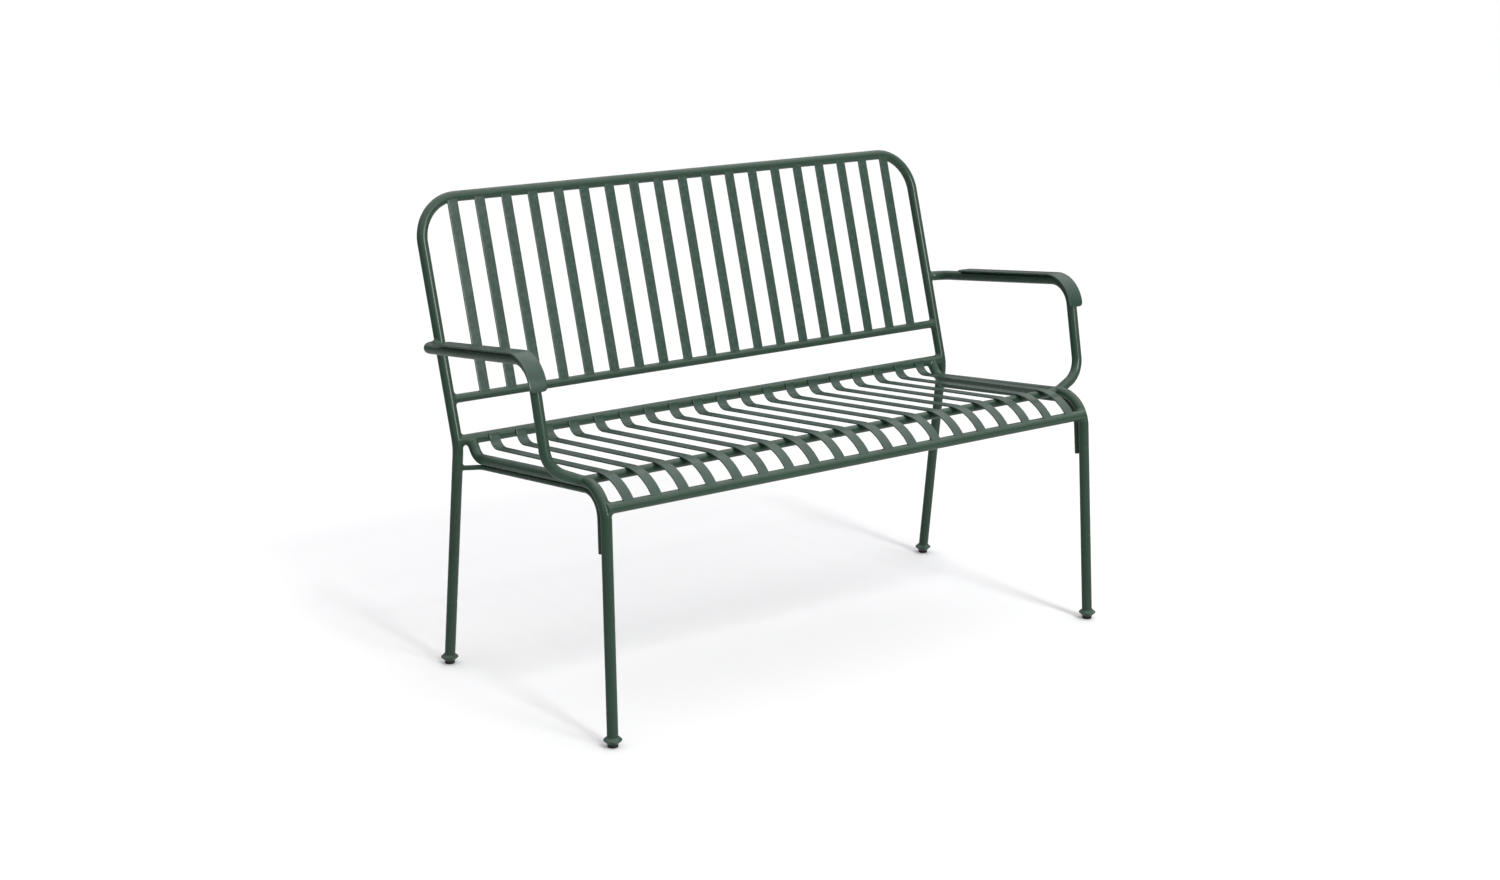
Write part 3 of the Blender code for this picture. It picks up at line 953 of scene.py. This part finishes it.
def crease(axis, up, out, radius, depth):
    """Where a strip's face, a depth behind a rail's front, runs into the rail, in (y, z)."""
    reach = radius - depth
    return axis + out * reach + up * math.sqrt(radius ** 2 - reach ** 2)


def back_creases(axis, up, out, radius):
    """Beads along a back slat's front and rear faces where it runs into a rail."""
    rear = BACK_SLAT_INSET + STRIP_T
    return (
        (crease(axis, up, out, radius, BACK_SLAT_INSET), FRONT_CREASE_R),
        (crease(axis, up, out, radius, rear), REAR_CREASE_R),
    )


def make_slat_welds():
    """Beads along the slats' joints with the rails, and where they lie on the support tube."""
    up = back_slope()
    forward = to_left(up)
    slope = direction_at(SLAT_FRONT_ANGLE)
    front = in_side(front_leg_at(FRONT_RAIL_Z))
    front_bead = crease(front, slope, to_left(slope), MAIN_R, STRIP_T)
    rear = in_side(middle("seat_rear_rail"))
    rear_bead = rear + (slat_profile()[-1] - rear).normalized() * (MAIN_R + GAP)
    low = back_creases(in_side(upright_at(LOWER_RAIL_Z)), up, forward, RAIL_R)
    high = back_creases(in_side(upright_at(TOP_Z)), -up, forward, MAIN_R)
    support_y = middle("seat_support_tube").y
    support = []
    for shift in (-SUPPORT_BEAD_OFFSET, SUPPORT_BEAD_OFFSET):
        underside = slat_flat_z(SUPPORT_Y + shift) - STRIP_T / 2
        tack = Vector((support_y + shift, underside - SUPPORT_BEAD_SINK))
        support.append((tack, SUPPORT_BEAD_R))
    for name, start, beads, half_length in (
        ("seat_front_welds", "seat_slat_", ((front_bead, SLAT_BEAD_R),), SLAT_BEAD_HALF),
        ("seat_rear_welds", "seat_slat_", ((rear_bead, SLAT_BEAD_R),), SLAT_BEAD_HALF),
        ("back_low_welds", "back_slat_", low, SLAT_BEAD_HALF),
        ("back_top_welds", "back_slat_", high, SLAT_BEAD_HALF),
        ("support_welds", "seat_slat_", support, SUPPORT_BEAD_HALF),
    ):
        edit = bmesh.new()
        for node in slat_nodes(start):
            for spot, radius in beads:
                centre = Vector((middle(node).x, spot.x, spot.y))
                add_bead(edit, centre, ALONG_X, half_length, radius)
        place(new_object(name, edit, WELD_SHARP), "weld", GREEN)


def arm_x_at(y):
    """Distance of the arm tube's upper run from the bench's middle."""
    blend = (y - REAR_BEND.y) / (ARM_FRONT_Y - REAR_BEND.y)
    return ARM_X + (ARM_FRONT_X - ARM_X) * min(max(blend, 0.0), 1.0)


def make_tacks():
    """Short tacks under the pads and between the braces and the seat sides."""
    edit = bmesh.new()
    profile = pad_profile()
    length = distances(profile)[-1]
    for _, side in SIDES:
        for share in PAD_TACK_SHARES:
            point, direction = along_profile(profile, length * share)
            under = to_left(direction)
            if under.y > 0:
                under = -under
            spot = point + under * (PAD_T / 2 + PAD_TACK_DROP)
            along = Vector((0.0, direction.x, direction.y))
            for offset in (-PAD_TACK_OFFSET, PAD_TACK_OFFSET):
                centre = Vector((side * arm_x_at(point.x) + offset, spot.x, spot.y))
                add_bead(edit, centre, along, TACK_HALF, PAD_TACK_R)
        for y in BRACE_TACK_YS:
            height = side_z(y) - (MAIN_R + BRACE_DROP - BRACE_R) / 2
            centre = Vector((seat_corner().x * side, y, height))
            add_bead(edit, centre, Vector((0.0, 1.0, -SIDE_FALL)), TACK_HALF, BRACE_TACK_R)
    place(new_object("tack_welds", edit, WELD_SHARP), "weld", GREEN)


# ---------------------------------------------------------------- studio

def make_floor():
    """A wide pale floor under the glides, left out of reflections."""
    edit = bmesh.new()
    bmesh.ops.create_grid(
        edit, x_segments=FLOOR_CELLS, y_segments=FLOOR_CELLS, size=FLOOR_HALF
    )
    floor = new_object("studio_floor", edit)
    floor.data.materials.append(floor_material())
    floor.visible_glossy = False


def make_backdrop():
    """A pale wall far round the floor, seen directly but neither lighting nor reflected."""
    edit = bmesh.new()
    rings = []
    for z in (BACKDROP_LOW, BACKDROP_H):
        ring = [(BACKDROP_R * c, BACKDROP_R * s, z) for c, s in circle(BACKDROP_SIDES)]
        rings.append([edit.verts.new(spot) for spot in ring])
    add_rings(edit, rings)
    wall = new_object("studio_backdrop", edit)
    wall.data.materials.append(backdrop_material())
    wall.visible_diffuse = False
    wall.visible_glossy = False
    wall.visible_transmission = False
    wall.visible_shadow = False


def make_world():
    """A plain pale surround: bright overhead, dim at eye level, darker on the -X side."""
    world = bpy.data.worlds.new("studio")
    bpy.context.scene.world = world
    world.use_nodes = True
    tree = world.node_tree
    background = tree.nodes["Background"]
    coords = add_node(tree, "ShaderNodeTexCoord", (-1300, 0))
    parts = add_node(tree, "ShaderNodeSeparateXYZ", (-1100, 0))
    tree.links.new(coords.outputs["Generated"], parts.inputs[0])
    height = spread(tree, parts.outputs["Z"], -1.0, 1.0, 0.0, 1.0, (-900, 100))
    ramp = add_node(tree, "ShaderNodeValToRGB", (-700, 100))
    tree.links.new(height, ramp.inputs[0])
    stops = ramp.color_ramp.elements
    while len(stops) < len(SURROUND):
        stops.new(0.5)
    for stop, (z, level) in zip(stops, SURROUND):
        stop.position = (z + 1.0) / 2.0
        stop.color = (level, level, level * SURROUND_BLUE, 1.0)
    side = spread(tree, parts.outputs["X"], -0.8, 0.6, SIDE_DIM, SIDE_BRIGHT, (-900, -150))
    scale = add_node(tree, "ShaderNodeVectorMath", (-400, 0), operation="SCALE")
    tree.links.new(ramp.outputs[0], scale.inputs[0])
    tree.links.new(side, scale.inputs["Scale"])
    tree.links.new(scale.outputs[0], background.inputs["Color"])
    background.inputs["Strength"].default_value = 1.0


def add_lamp(name, data, location, target):
    """A lamp at a place, pointed at another."""
    lamp = bpy.data.objects.new(name, data)
    lamp.location = location
    lamp.rotation_euler = (Vector(target) - lamp.location).to_track_quat("-Z", "Y").to_euler()
    bpy.context.scene.collection.objects.link(lamp)
    return lamp


def make_lights():
    """A soft key from the front, high up, left out of reflections, and a soft box under it."""
    sun = bpy.data.lights.new("key", "SUN")
    sun.energy = SUN_POWER
    sun.angle = SUN_ANGLE
    add_lamp("key", sun, SUN_PLACE, SUN_TARGET).visible_glossy = False
    box = bpy.data.lights.new("front_box", "AREA")
    box.shape = "RECTANGLE"
    box.size = BOX_WIDTH
    box.size_y = BOX_HEIGHT
    box.energy = BOX_POWER
    add_lamp("front_box", box, BOX_PLACE, BOX_TARGET)


def make_camera():
    """The camera, at the height and distance of a standing viewer at the left front."""
    data = bpy.data.cameras.new("camera")
    data.sensor_fit = "HORIZONTAL"
    data.sensor_width = SENSOR_MM
    data.lens = LENS_MM
    camera = bpy.data.objects.new("camera", data)
    camera.location = CAMERA_PLACE
    camera.rotation_euler = (CAMERA_TILT, 0.0, CAMERA_PAN)
    bpy.context.scene.collection.objects.link(camera)
    bpy.context.scene.camera = camera


weld_targets = make_frame()
make_pads()
make_slats()
make_feet()
make_joint_welds(weld_targets)
make_slat_welds()
make_tacks()
make_floor()
make_backdrop()
make_world()
make_lights()
make_camera()
bpy.context.scene.view_settings.view_transform = "Standard"
